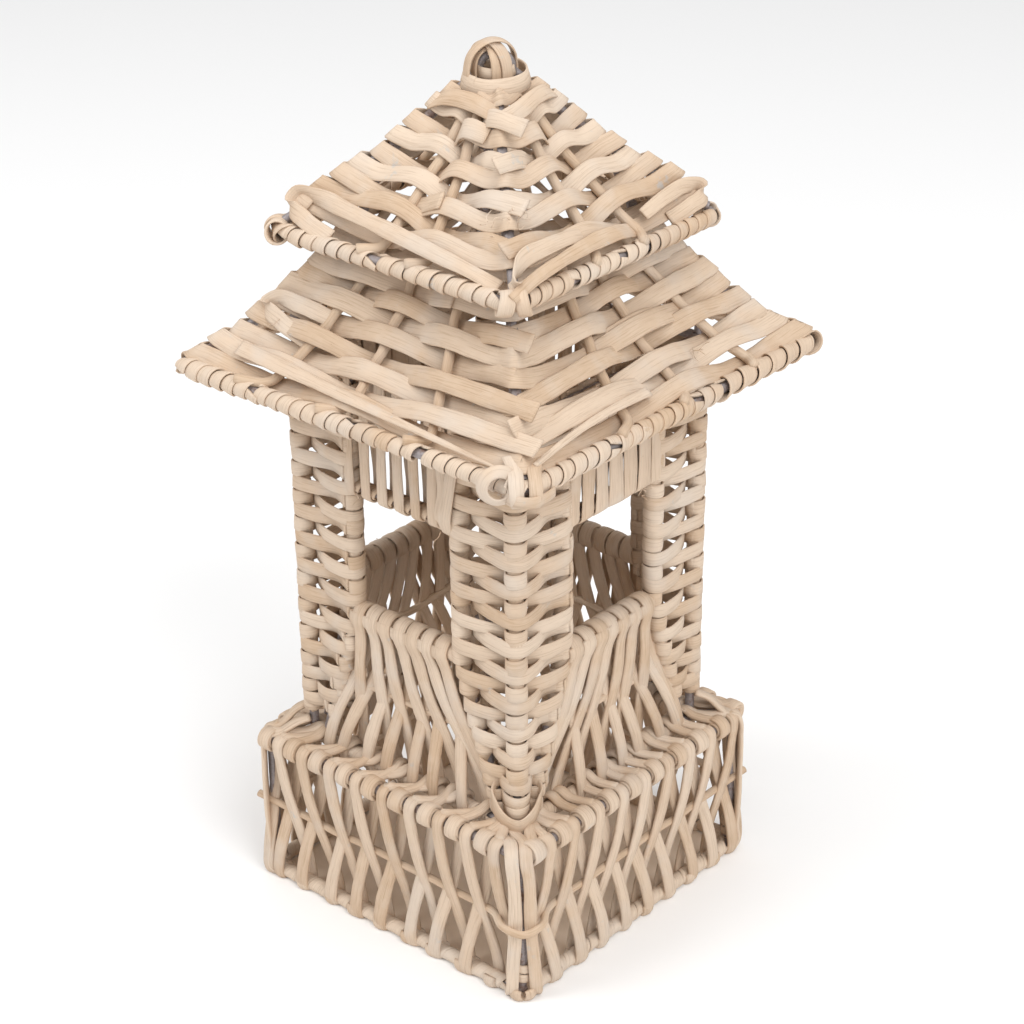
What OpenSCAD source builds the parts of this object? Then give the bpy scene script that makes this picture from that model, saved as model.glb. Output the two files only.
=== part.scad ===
// Pagoda candle lantern of rattan strip woven on a welded wire frame.
// Origin at the centre of the footprint on the ground, +Z up, millimetres.
// The front faces -Y and the right side faces +X.

/* [Base] */
// Distance between opposite wires of the base rings
base_w = 154; // [120:1:200]
// Height of the upper base ring
base_top_z = 72.4; // [50:0.1:100]
// Bend radius at the corners of the base rings
base_corner_r = 7; // [4:0.5:20]
// Lacing periods along each side of the base
base_periods = 8; // [6:1:14]

/* [Tower] */
// Distance between opposite wires of the ring that the posts stand on
ledge_w = 124; // [100:1:150]
// Height of that ring
ledge_z = 73.5; // [70:0.5:110]
// Height of the window sills
sill_z = 147; // [120:1:170]
// Height of the window heads
head_z = 209; // [180:1:240]
// Height of the wires that close the walls under the roof
tower_top_z = 262; // [245:1:275]
// Distance from a corner wire to the window jamb beside it
jamb_offset = 30; // [20:1:36]
// Rows of weaving up each corner post
post_rows = 25; // [12:1:30]

/* [Roofs] */
// Distance between opposite eave wires of the lower roof
lower_eave_w = 192; // [170:1:220]
// Height of the lower eave
lower_eave_z = 258; // [240:1:270]
// Distance between opposite eave wires of the upper roof
upper_eave_w = 132; // [110:1:150]
// Height of the upper eave
upper_eave_z = 317.5; // [305:0.5:330]
// Bend radius at the corners of the lower eave
lower_eave_r = 4; // [3:0.5:12]
// Bend radius at the corners of the upper eave
upper_eave_r = 8; // [3:0.5:16]

/* [Materials] */
// Diameter of the frame wire
wire_d = 4.2; // [3:0.1:6]
// Diameter of the round roof stakes
stake_d = 4.4; // [3:0.1:6]
// Diameter of the thin round reeds at mid height of the laced walls
reed_d = 3.5; // [2:0.1:5]
// Width of the flat strips
strip_w = 6.2; // [4:0.1:9]
// Thickness of the flat strips
strip_t = 1.2; // [0.8:0.1:2]

/* [Hidden] */
$fn = 48;
FRONT = 0;
RIGHT = 1;
BACK = 2;
LEFT = 3;

gap = 0.3;
base_h = base_w / 2;
base_foot_z = 3.4;
wrap_in = wire_d / 2 + 0.2;
wrap_out = wire_d / 2 + gap + strip_t + 0.1;
lay = wire_d / 2 + 0.15;
corner_cut = 1 - cos(45);
hip_clear = 4.8;
weld = wire_d / 2 + 0.6;
knuckle = 1.12;
base_corner = base_h - base_corner_r * corner_cut;
base_span = 2 * (base_h - base_corner_r - strip_w / 2 - 0.2);
base_pitch = base_span / base_periods;
base_reed_z = 38;

ledge_r = 4;
post_xy = ledge_w / 2 - ledge_r * corner_cut;
jamb_u = post_xy - jamb_offset;
jamb_foot_u = 52;
jamb_foot_z = ledge_z + wire_d / 2 + 2.8;
panel_half = jamb_u - wrap_out - strip_w / 2 - 0.6;
parapet_periods = 6;
parapet_strip_w = 5.4;
parapet_reed_z = 110.5;
parapet_foot_half = 45;
valance_strips = 6;
rows_by_window = 9.2;
rows_below_sill = 7.9;
row_pitch = (head_z - sill_z) / rows_by_window;
first_row_z = sill_z - rows_below_sill * row_pitch;
rail_clear = (wire_d + strip_w) / 2 + gap;

// Roof profiles: distance of the weave from the axis, and height.
lower_profile = [
    [lower_eave_w / 2, lower_eave_z],
    [lower_eave_w / 2 - 19, lower_eave_z + 13.5],
    [lower_eave_w / 2 - 42, lower_eave_z + 41],
    [lower_eave_w / 2 - 56, lower_eave_z + 64],
    [lower_eave_w / 2 - 62, lower_eave_z + 85],
];
upper_profile = [
    [upper_eave_w / 2, upper_eave_z],
    [upper_eave_w / 2 - 36, upper_eave_z + 33.5],
    [upper_eave_w / 2 - 57.5, upper_eave_z + 60],
];
lower_stakes = [-0.52, 0, 0.52];
upper_stakes = [-0.26, 0.26];
lower_rows = 9;
upper_rows = 9;
roof_row_pitch = 8.2;
roof_strip_w = 7.2;
finial_z = 383.6;
finial_r = 6.5;
finial_foot = [upper_eave_w / 2 - 54.2, upper_eave_z + 60.9];
finial_band_z = upper_eave_z + 60.9;
loop_d = wire_d - 0.6;

straw = [0.84, 0.76, 0.65];
reed_colour = [0.82, 0.71, 0.56];
steel = [0.55, 0.5, 0.49];

// ---------- shared shapes ----------

function unit(v) = v / norm(v);
function left_of(v) = [-v.y, v.x];
function reversed(p) = [for (i = [len(p) - 1:-1:0]) p[i]];

// Offset direction at point i of an open line, lengthened at bends to keep the width.
function mitre(p, i) =
    i == 0 ? left_of(unit(p[1] - p[0])) :
    i == len(p) - 1 ? left_of(unit(p[i] - p[i - 1])) :
    let (a = left_of(unit(p[i] - p[i - 1])), b = left_of(unit(p[i + 1] - p[i])), m = unit(a + b))
    m / (m * a);

// Outline of a flat band of thickness t along an open line.
function band(p, t) = concat(
    [for (i = [0:len(p) - 1]) p[i] + mitre(p, i) * t / 2],
    reversed([for (i = [0:len(p) - 1]) p[i] - mitre(p, i) * t / 2])
);

// A round rod between two points of the XY plane.
module rod(a, b, d)
    translate([a.x, a.y, 0])
        rotate([0, 90, atan2(b.y - a.y, b.x - a.x)])
            cylinder(h = norm(b - a), d = d);

// A bent wire through points of the XY plane, with a short round knuckle at each bend.
module wire(p, d, closed = false) {
    n = len(p);
    for (i = [0:closed ? n - 1 : n - 2])
        rod(p[i], p[(i + 1) % n], d);
    for (i = [closed ? 0 : 1:closed ? n - 1 : n - 2])
        translate([p[i].x, p[i].y, -knuckle * d / 2])
            cylinder(h = knuckle * d, d = knuckle * d);
}

// A square of wire with round corners.
module square_ring(h, z, r, d)
    each_side()
        translate([0, 0, z]) {
            translate([0, -h, 0])
                rod([r - h, 0], [h - r, 0], d);
            translate([h - r, r - h, 0])
                rotate([0, 0, -90])
                    rotate_extrude(angle = 90)
                        translate([r, 0])
                            circle(d = d);
        }

// A wire in the upright plane at the given angle about the axis; points are [radius, height].
module upright(angle)
    rotate([90, 0, angle])
        children();

module side(k)
    rotate([0, 0, 90 * k])
        children();

module each_side()
    for (k = [FRONT:LEFT])
        side(k)
            children();

// Lays children on a wall of the front side: x along it, y up it, z outwards.
// Points are [distance from the axis, height].
module on_wall(foot, head)
    translate([0, -foot.x, foot.y])
        rotate([atan2(head.y - foot.y, foot.x - head.x), 0, 0])
            children();

// One turn of strip around a wire that lies along x.
module wrap(x, w)
    translate([x - w / 2, 0, 0])
        rotate([0, 90, 0])
            difference() {
                cylinder(h = w, r = wrap_out);
                translate([0, 0, -1])
                    cylinder(h = w + 2, r = wrap_in);
            }

// A straight strip up a wall from x0 to x1, its inner face at height z.
module slat(x0, x1, length, z, w = strip_w)
    translate([0, 0, z])
        linear_extrude(strip_t)
            polygon([
                [x0 - w / 2, 0], [x0 + w / 2, 0],
                [x1 + w / 2, length], [x1 - w / 2, length],
            ]);

// Strips crossing in a row of X shapes, one layer each side of the wires.
module crossing(foot_half, head_half, length, periods, w = strip_w) {
    foot = foot_half * 2 / periods;
    head = head_half * 2 / periods;
    for (i = [0:periods - 1]) {
        slat(i * foot - foot_half, (i + 1) * head - head_half, length, lay, w);
        slat((i + 1) * foot - foot_half, i * head - head_half, length, -lay - strip_t, w);
    }
}

// Wraps around the wire at one edge of a laced wall.
module edge_wraps(half, periods, shift = 0, w = strip_w)
    for (i = [0:periods - (shift > 0 ? 1 : 0)])
        wrap((i + shift) * half * 2 / periods - half, w);

// A coil of strip closely wound along a wire that lies along x.
module coil(half) {
    turns = round(2 * half / (roof_strip_w + 0.2));
    pitch = 2 * half / turns;
    notch = 0.35;
    outline = [
        for (i = [0:turns - 1], q = [[0.1, -notch], [0.6, 0], [pitch - 0.6, 0], [pitch - 0.1, -notch]])
            [wrap_out + q.y, i * pitch + q.x]
    ];
    translate([-half, 0, 0])
        rotate([0, 90, 0])
            rotate_extrude()
                polygon(concat([[wrap_in, 0]], outline, [[wrap_in, 2 * half]]));
}

// ---------- steel frame ----------

module base_bottom_wire()
    color(steel)
        square_ring(base_h, base_foot_z, base_corner_r, wire_d);

module base_top_wire()
    color(steel)
        square_ring(base_h, base_top_z, base_corner_r, wire_d);

module base_corner_rods()
    color(steel)
        difference() {
            each_side()
                translate([base_corner, -base_corner, base_foot_z])
                    cylinder(h = base_top_z - base_foot_z, d = wire_d);
            square_ring(base_h, base_foot_z, base_corner_r, wire_d);
            square_ring(base_h, base_top_z, base_corner_r, wire_d);
        }

// Short diagonals that carry the tower on the corners of the base.
module ledge_struts() {
    foot = [base_corner * sqrt(2), base_top_z];
    head = [post_xy * sqrt(2), ledge_z];
    run = unit(head - foot) * weld;
    color(steel)
        for (k = [FRONT:LEFT])
            upright(90 * k + 45)
                rod(foot + run, head - run, wire_d);
}

module ledge_wire()
    color(steel)
        square_ring(ledge_w / 2, ledge_z, ledge_r, wire_d);

// Height of a hip wire over a given distance from the axis.
function height_at(p, h, i = 0) =
    h > p[i + 1].x
        ? p[i].y + (p[i + 1].y - p[i].y) * (p[i].x - h) / (p[i].x - p[i + 1].x)
        : height_at(p, h, i + 1);

module spines()
    each_side()
        translate([post_xy, -post_xy, ledge_z])
            cylinder(h = height_at(lower_profile, post_xy) - hip_clear - ledge_z, d = wire_d);

module post_spine_wires()
    color(steel)
        difference() {
            spines();
            square_ring(ledge_w / 2, ledge_z, ledge_r, wire_d);
        }

// The wires beside the windows, which lean out to the post feet below the sills.
module post_jamb_wires()
    color(steel)
        each_side()
            translate([0, -post_xy, 0])
                upright(0)
                    for (s = [-1, 1])
                        wire([
                            [s * jamb_foot_u, jamb_foot_z],
                            [s * jamb_u, sill_z],
                            [s * jamb_u, tower_top_z - wire_d / 2],
                        ], wire_d);

module rails(z, half)
    each_side()
        translate([0, -post_xy, z])
            rod([-half, 0], [half, 0], wire_d);

module sill_wires()
    color(steel)
        rails(sill_z, jamb_u - wire_d / 2);

module head_wires()
    color(steel)
        rails(head_z, jamb_u - wire_d / 2);

module tower_top_wires()
    color(steel)
        rails(tower_top_z, post_xy - wire_d / 2);

// Wires up a roof from the eave; f is the share of the way from mid side to corner.
module roof_wires(profile, shares, d = wire_d, trim = 0)
    for (k = [FRONT:LEFT], f = shares) {
        reach = sqrt(1 + f * f);
        start = profile[0] + unit(profile[1] - profile[0]) * trim;
        points = concat([start], [for (i = [1:len(profile) - 1]) profile[i]]);
        upright(90 * k - 90 + atan(f))
            wire([for (q = points) [q.x * reach, q.y]], d);
    }

module lower_eave_wire()
    color(steel)
        square_ring(lower_eave_w / 2, lower_eave_z, lower_eave_r, wire_d);

module lower_hip_wires()
    color(steel)
        roof_wires(lower_profile, [1], trim = lower_eave_r * corner_cut + weld);

module upper_eave_wire()
    color(steel)
        square_ring(upper_eave_w / 2, upper_eave_z, upper_eave_r, wire_d);

module upper_hip_wires()
    color(steel)
        roof_wires(upper_profile, [1], trim = upper_eave_r * corner_cut + weld);

// The hairpin that joins two opposite hips inside the finial.
module finial_loop()
    color(steel)
        upright(45) {
            for (s = [-1, 1])
                wire([
                    [s * finial_foot.x, finial_foot.y],
                    [s * finial_r, finial_z - 1],
                    [s * finial_r, finial_z],
                ], loop_d);
            translate([0, finial_z, 0])
                rotate_extrude(angle = 180)
                    translate([finial_r, 0])
                        circle(d = loop_d);
        }

// ---------- round reeds ----------

// The front and back reeds swing out past the corner rods; the side reeds stop short of them.
module base_mid_reeds() {
    straight = base_h - base_corner_r + 0.5;
    tip = [straight + 11.5, 3.5];
    color(reed_colour)
        for (k = [FRONT, BACK])
            side(k)
                translate([0, -base_h, base_reed_z]) {
                    wire([[-tip.x, -tip.y], [-straight, 0], [straight, 0], [tip.x, -tip.y]], reed_d);
                    translate([base_h, base_h, 0])
                        rod([0, -straight], [0, straight], reed_d);
                }
}

module parapet_mid_reeds()
    color(reed_colour)
        each_side()
            translate([0, -post_xy, parapet_reed_z]) {
                lean = (jamb_foot_u - jamb_u) / (sill_z - jamb_foot_z);
                half = jamb_u + (sill_z - parapet_reed_z) * lean - wire_d / 2 - 1.2;
                rod([-half, 0], [half, 0], reed_d);
            }

module lower_roof_stakes()
    color(reed_colour)
        roof_wires([for (i = [0:3]) lower_profile[i]], lower_stakes, stake_d, 5);

module upper_roof_stakes()
    color(reed_colour)
        roof_wires([upper_profile[0], upper_profile[1], upper_profile[2] + [4, -5]],
            upper_stakes, stake_d, 5);

// ---------- flat strip weaving ----------

module base_lacing(k)
    color(straw)
        side(k)
            difference() {
                union() {
                    on_wall([base_h, base_foot_z], [base_h, base_top_z]) {
                        crossing(base_span / 2, base_span / 2, base_top_z - base_foot_z, base_periods);
                        edge_wraps(base_span / 2, base_periods);
                    }
                    on_wall([base_h, base_top_z], [base_h, base_top_z + 1])
                        edge_wraps(base_span / 2, base_periods);
                }
                translate([-base_w, -base_w, -10])
                    cube([2 * base_w, 2 * base_w, 10]);
            }

// Short turns of strip that fill the bottom ring between the lacing.
module base_foot_wraps()
    color(straw)
        difference() {
            each_side()
                on_wall([base_h, base_foot_z], [base_h, base_top_z])
                    edge_wraps(base_span / 2, base_periods, 0.5);
            translate([-base_w, -base_w, -10])
                cube([2 * base_w, 2 * base_w, 10.05]);
        }

// Strips across the ledge, looped over the base ring between the strips of the wall.
module ledge_lacing(k)
    color(straw)
        side(k)
            on_wall([base_h, base_top_z], [ledge_w / 2, ledge_z]) {
                span = base_span / 2 - base_pitch / 2;
                inner = ledge_w / 2 - ledge_r - strip_w;
                length = norm([base_h - ledge_w / 2, ledge_z - base_top_z]);
                crossing(span, inner, length, base_periods - 1);
                edge_wraps(span, base_periods - 1);
            }

// Crossed strips between the ledge and the sill, spreading towards the post feet.
module parapet_lacing(k)
    color(straw)
        side(k)
            on_wall([post_xy, ledge_z + wrap_out + 0.4], [post_xy, sill_z]) {
                height = sill_z - ledge_z - wrap_out - 0.4;
                crossing(parapet_foot_half, panel_half, height, parapet_periods, parapet_strip_w);
                translate([0, height, 0])
                    edge_wraps(panel_half, parapet_periods, w = parapet_strip_w);
            }

// Upright strips over the window, looped around the head wire.
module valance(k)
    color(straw)
        side(k)
            on_wall([post_xy, head_z], [post_xy, tower_top_z]) {
                pitch = 2 * panel_half / (valance_strips - 1);
                for (i = [0:valance_strips - 1]) {
                    x = i * pitch - panel_half;
                    slat(x, x, tower_top_z - head_z, lay, strip_w - 1);
                    slat(x, x, tower_top_z - head_z, -lay - strip_t, strip_w - 1);
                }
                edge_wraps(panel_half, valance_strips - 1);
                translate([0, tower_top_z - head_z, 0])
                    edge_wraps(panel_half, valance_strips - 1);
            }

// Length of a post's leg at a height: the jambs close on the spine below the sill.
function leg(z) =
    z >= sill_z ? jamb_offset : post_xy - jamb_u -
        (sill_z - z) * (jamb_foot_u - jamb_u) / (sill_z - jamb_foot_z);

// One row around a post, seen from above: s is 1 over the spine, -1 behind it.
function post_row(length, s) =
    let (c = s * (lay + strip_t / 2 + 0.1), far = length + 1, near = min(8, length / 2))
    [[-far, c], [-far + 3.5, c], [-near, -c], [c, -c], [c, near], [-c, far - 3.5], [-c, far]];

// Rows of strip up a corner post, with a fine seam along the corner: each solid lies on one wall.
module post_weave(k)
    color(straw)
        side(k)
            translate([post_xy, -post_xy, 0])
                difference() {
                    for (i = [0:post_rows - 1])
                        post_course(first_row_z + i * row_pitch, i % 2 == 0 ? 1 : -1);
                    rotate(-45)
                        cube([2 * jamb_offset, gap, 2 * tower_top_z], center = true);
                }

// One row of a post at a height, with a turn of strip round each jamb beside the window.
module post_course(z, s) {
    translate([0, 0, z - strip_w / 2])
        linear_extrude(strip_w)
            polygon(band(post_row(leg(z), s), strip_t));
    if (z > sill_z + rail_clear && abs(z - head_z) > rail_clear)
        for (m = [0, 1])
            mirror([m, m, 0])
                translate([-leg(z), 0, z])
                    rotate([0, 90, 0])
                        wrap(0, strip_w);
}

// One row of a roof: alternately over and under the stakes, from hip to hip.
function roof_row(h, shares, parity) =
    let (c = stake_d / 2 + gap + strip_t / 2, at = concat([-1.14], shares, [1.14]), flat = 2.6)
    [for (i = [0:len(at) - 1], e = [-flat, flat]) [at[i] * h + e, (i + parity) % 2 == 0 ? c : -c]];

// Point at a distance up a profile, and the direction there.
function along(p, s, i = 0) =
    let (length = norm(p[i + 1] - p[i]))
    s <= length || i == len(p) - 2
        ? [p[i] + unit(p[i + 1] - p[i]) * s, unit(p[i + 1] - p[i])]
        : along(p, s - length, i + 1);

module roof_weave(k, profile, shares, rows, first)
    color(straw)
        side(k)
            intersection() {
                for (j = [0:rows - 1]) {
                    place = along(profile, first + j * roof_row_pitch);
                    on_wall(place[0], place[0] + place[1])
                        translate([0, roof_strip_w / 2, 0])
                            rotate([90, 0, 0])
                                linear_extrude(roof_strip_w)
                                    polygon(band(
                                        roof_row(place[0].x, shares, j + k * (len(shares) + 1)),
                                        strip_t
                                    ));
                }
                linear_extrude(2 * lower_eave_z)
                    polygon([[0, -0.1], [-200, -200.1], [200, -200.1]]);
            }

module lower_roof_weave(k)
    roof_weave(k, lower_profile, lower_stakes, lower_rows, 9);

module upper_roof_weave(k)
    roof_weave(k, upper_profile, upper_stakes, upper_rows, 9);

module eave_wrap(w, z, r)
    color(straw)
        each_side()
            translate([0, -w / 2, z])
                coil(w / 2 - r - 2);

module lower_eave_wrap()
    eave_wrap(lower_eave_w, lower_eave_z, lower_eave_r);

module upper_eave_wrap()
    eave_wrap(upper_eave_w, upper_eave_z, upper_eave_r);

// A strip that arches over the finial.
module arch(r, foot, angle)
    rotate([90, 0, angle])
        translate([0, 0, -strip_w / 2])
            linear_extrude(strip_w)
                polygon(band(concat(
                    [[r, -foot]],
                    [for (a = [0:15:180]) [r * cos(a), r * sin(a)]],
                    [[-r, -foot]]
                ), strip_t));

module finial_weave()
    color(straw) {
        translate([0, 0, finial_z]) {
            arch(finial_r + 3, 0.5, 45);
            arch(finial_r + 4.4, 6, 0);
            arch(finial_r + 5.8, 6, 90);
        }
        translate([0, 0, finial_band_z])
            difference() {
                cylinder(h = strip_w, r = 16.4);
                translate([0, 0, -1])
                    cylinder(h = strip_w + 2, r = 16.4 - strip_t);
            }
    }

// ---------- assembly ----------

base_bottom_wire();
base_top_wire();
base_corner_rods();
ledge_struts();
ledge_wire();
post_spine_wires();
post_jamb_wires();
sill_wires();
head_wires();
tower_top_wires();
lower_eave_wire();
lower_hip_wires();
upper_eave_wire();
upper_hip_wires();
finial_loop();
base_mid_reeds();
parapet_mid_reeds();
lower_roof_stakes();
upper_roof_stakes();
base_lacing(FRONT);  // base_lacing_front
base_lacing(RIGHT);  // base_lacing_right
base_lacing(BACK);  // base_lacing_back
base_lacing(LEFT);  // base_lacing_left
base_foot_wraps();
ledge_lacing(FRONT);  // ledge_lacing_front
ledge_lacing(RIGHT);  // ledge_lacing_right
ledge_lacing(BACK);  // ledge_lacing_back
ledge_lacing(LEFT);  // ledge_lacing_left
parapet_lacing(FRONT);  // parapet_lacing_front
parapet_lacing(RIGHT);  // parapet_lacing_right
parapet_lacing(BACK);  // parapet_lacing_back
parapet_lacing(LEFT);  // parapet_lacing_left
post_weave(FRONT);  // post_weave_front_right
post_weave(RIGHT);  // post_weave_back_right
post_weave(BACK);  // post_weave_back_left
post_weave(LEFT);  // post_weave_front_left
valance(FRONT);  // valance_front
valance(RIGHT);  // valance_right
valance(BACK);  // valance_back
valance(LEFT);  // valance_left
lower_roof_weave(FRONT);  // lower_roof_weave_front
lower_roof_weave(RIGHT);  // lower_roof_weave_right
lower_roof_weave(BACK);  // lower_roof_weave_back
lower_roof_weave(LEFT);  // lower_roof_weave_left
lower_eave_wrap();
upper_roof_weave(FRONT);  // upper_roof_weave_front
upper_roof_weave(RIGHT);  // upper_roof_weave_right
upper_roof_weave(BACK);  // upper_roof_weave_back
upper_roof_weave(LEFT);  // upper_roof_weave_left
upper_eave_wrap();
finial_weave();
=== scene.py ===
"""Looks of the woven rattan pagoda lantern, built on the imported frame. Metres, +Z up, front at -Y.

Wall coordinates are (u, n, z): u runs along a side, n is the distance of the wall from the axis
and z is the height. Side 0 is the front, then right, back and left."""

import math

import bpy
import numpy as np
from mathutils import Matrix, Vector


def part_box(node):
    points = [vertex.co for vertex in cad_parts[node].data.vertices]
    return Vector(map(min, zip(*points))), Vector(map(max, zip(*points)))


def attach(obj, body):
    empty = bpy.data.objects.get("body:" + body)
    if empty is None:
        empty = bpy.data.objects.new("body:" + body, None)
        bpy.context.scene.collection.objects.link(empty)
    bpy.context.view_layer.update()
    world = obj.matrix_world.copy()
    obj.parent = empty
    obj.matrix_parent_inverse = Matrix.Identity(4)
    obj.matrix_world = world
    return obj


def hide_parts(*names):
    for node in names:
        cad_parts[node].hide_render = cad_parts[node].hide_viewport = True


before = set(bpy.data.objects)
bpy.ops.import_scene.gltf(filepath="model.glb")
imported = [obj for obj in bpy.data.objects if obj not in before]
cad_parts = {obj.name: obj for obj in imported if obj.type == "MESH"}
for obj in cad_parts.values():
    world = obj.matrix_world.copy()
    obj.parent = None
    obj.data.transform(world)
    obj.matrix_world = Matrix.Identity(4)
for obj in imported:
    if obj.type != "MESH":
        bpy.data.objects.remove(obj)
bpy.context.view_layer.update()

MM = 0.001
SIDES = ("front", "right", "back", "left")
CORNERS = ("front_right", "back_right", "back_left", "front_left")
rng = np.random.default_rng(41)

# ---------- measures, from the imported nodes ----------

WIRE_R = 2.1 * MM
STRIP_T = 1.2 * MM
LAY = WIRE_R + STRIP_T / 2 + 0.1 * MM  # a strip's middle from the middle of the wire it lies on
LACE_T = 1.8 * MM  # the lacing strips are fuller than those of the roofs
LACE_LAY = WIRE_R + LACE_T / 2 + 0.1 * MM


def mid_height(node):
    low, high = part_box(node)
    return (low[2] + high[2]) / 2


def ring_of(node):
    """Distance from the axis and height of a square ring of wire."""
    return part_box(node)[1][0] - WIRE_R, mid_height(node)


BASE_FOOT = ring_of("base_bottom_wire")
BASE_HEAD = ring_of("base_top_wire")
LEDGE = ring_of("ledge_wire")
SILL = ring_of("sill_wires")
HEAD = ring_of("head_wires")
TOWER_TOP = ring_of("tower_top_wires")
LOWER_EAVE = ring_of("lower_eave_wire")
UPPER_EAVE = ring_of("upper_eave_wire")
POST = SILL[0]
JAMB = POST - 30 * MM
JAMB_FOOT = 52 * MM
JAMB_FOOT_Z = LEDGE[1] + WIRE_R + 2.8 * MM
# Roof faces from the eave up: distance from the axis and height.
LOWER_PROFILE = np.array([(96, 258), (77, 271.5), (54, 299), (40, 322), (34, 343)]) * MM
UPPER_PROFILE = np.array([(66, 317.5), (30, 351), (8.5, 377.5)]) * MM
FINIAL_Z = 383.6 * MM
TURN_STEP = 38  # degrees between the points of a turn round a wire


# ---------- curves ----------


def place(side, points):
    """Points or directions of wall coordinates, turned onto a side."""
    p = np.asarray(points, float)
    turn = side * math.pi / 2
    c, s = math.cos(turn), math.sin(turn)
    u, n = p[..., 0], p[..., 1]
    return np.stack([u * c + n * s, u * s - n * c, p[..., 2]], axis=-1)


def unit(v):
    v = np.asarray(v, float)
    return v / np.maximum(np.linalg.norm(v, axis=-1, keepdims=True), 1e-12)


def smooth(points, step):
    """A curve through the points, and each sample's place in the list of points."""
    p = np.asarray(points, float)
    gap = np.maximum(np.linalg.norm(np.diff(p, axis=0), axis=1), 1e-7)
    chord = np.diff(p, axis=0) / gap[:, None]
    speed = np.empty_like(p)
    speed[0], speed[-1] = chord[0], chord[-1]
    before, after = gap[:-1, None], gap[1:, None]
    speed[1:-1] = (chord[:-1] * after + chord[1:] * before) / (before + after)
    out, at = [], []
    for i, length in enumerate(gap):
        count = max(2, math.ceil(length / step))
        t = np.arange(count)[:, None] / count
        out.append(
            (2 * t**3 - 3 * t**2 + 1) * p[i]
            + (t**3 - 2 * t**2 + t) * length * speed[i]
            + (3 * t**2 - 2 * t**3) * p[i + 1]
            + (t**3 - t**2) * length * speed[i + 1]
        )
        at.append(i + t[:, 0])
    return np.vstack(out + [p[-1:]]), np.concatenate(at + [[len(p) - 1]])


def along(profile, distance):
    """Point at a distance up a roof profile, and the direction there."""
    for a, b in zip(profile[:-1], profile[1:]):
        length = np.linalg.norm(b - a)
        if distance <= length or b is profile[-1]:
            break
        distance -= length
    way = (b - a) / length
    return a + way * distance, way


def around(u0, u1, wire, radius, start, end, grow=0.0):
    """Turn about a wire that lies along a wall: 0 is outside it, 90 on top and 180 inside."""
    count = max(3, math.ceil(abs(end - start) / TURN_STEP) + 1)
    t = np.linspace(0, 1, count)
    angle = np.radians(start + (end - start) * t)
    r = radius + grow * t
    return [
        (u0 + (u1 - u0) * s, wire[0] + q * math.cos(a), wire[1] + q * math.sin(a))
        for s, a, q in zip(t, angle, r)
    ]


def wander(length, size, wave):
    """Slow seeded drift along a strip of the given length."""
    s = np.asarray(length)
    phase = rng.uniform(0, 2 * math.pi, 3)
    waves = wave * rng.uniform(0.7, 1.4, 3) * np.array([1.0, 0.55, 0.3])
    parts = [w * np.sin(2 * math.pi * s / q + p) for w, q, p in zip((0.6, 0.3, 0.15), waves, phase)]
    return size * sum(parts)


def drift(size):
    """A small seeded shift either way, from a size in millimetres."""
    return rng.uniform(-size, size) * MM


def sample(at, known, columns):
    """Each column's values at the given places."""
    return np.stack([np.interp(at, known, column) for column in columns.T], axis=1)


# ---------- strips and reeds ----------

# Outlines of the strips and the reed: share of half the width, and share of the thickness.
STRIP_SECTION = np.array([
    (-1.0, 0.02), (-0.93, 0.34), (-0.62, 0.5), (0.0, 0.58), (0.62, 0.5), (0.93, 0.34),
    (1.0, 0.02), (0.9, -0.36), (0.0, -0.44), (-0.9, -0.36),
])
LACE_SECTION = np.array([
    (-1.0, 0.0), (-0.92, 0.42), (-0.62, 0.78), (0.0, 0.96), (0.62, 0.78), (0.92, 0.42),
    (1.0, 0.0), (0.86, -0.4), (0.0, -0.5), (-0.86, -0.4),
])
REED_SECTION = np.array([(math.cos(a), math.sin(a)) for a in np.linspace(0, 2 * math.pi, 11)[:-1]])


def add_object(name, data):
    item = bpy.data.objects.new(name, data)
    bpy.context.scene.collection.objects.link(item)
    return item


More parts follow.
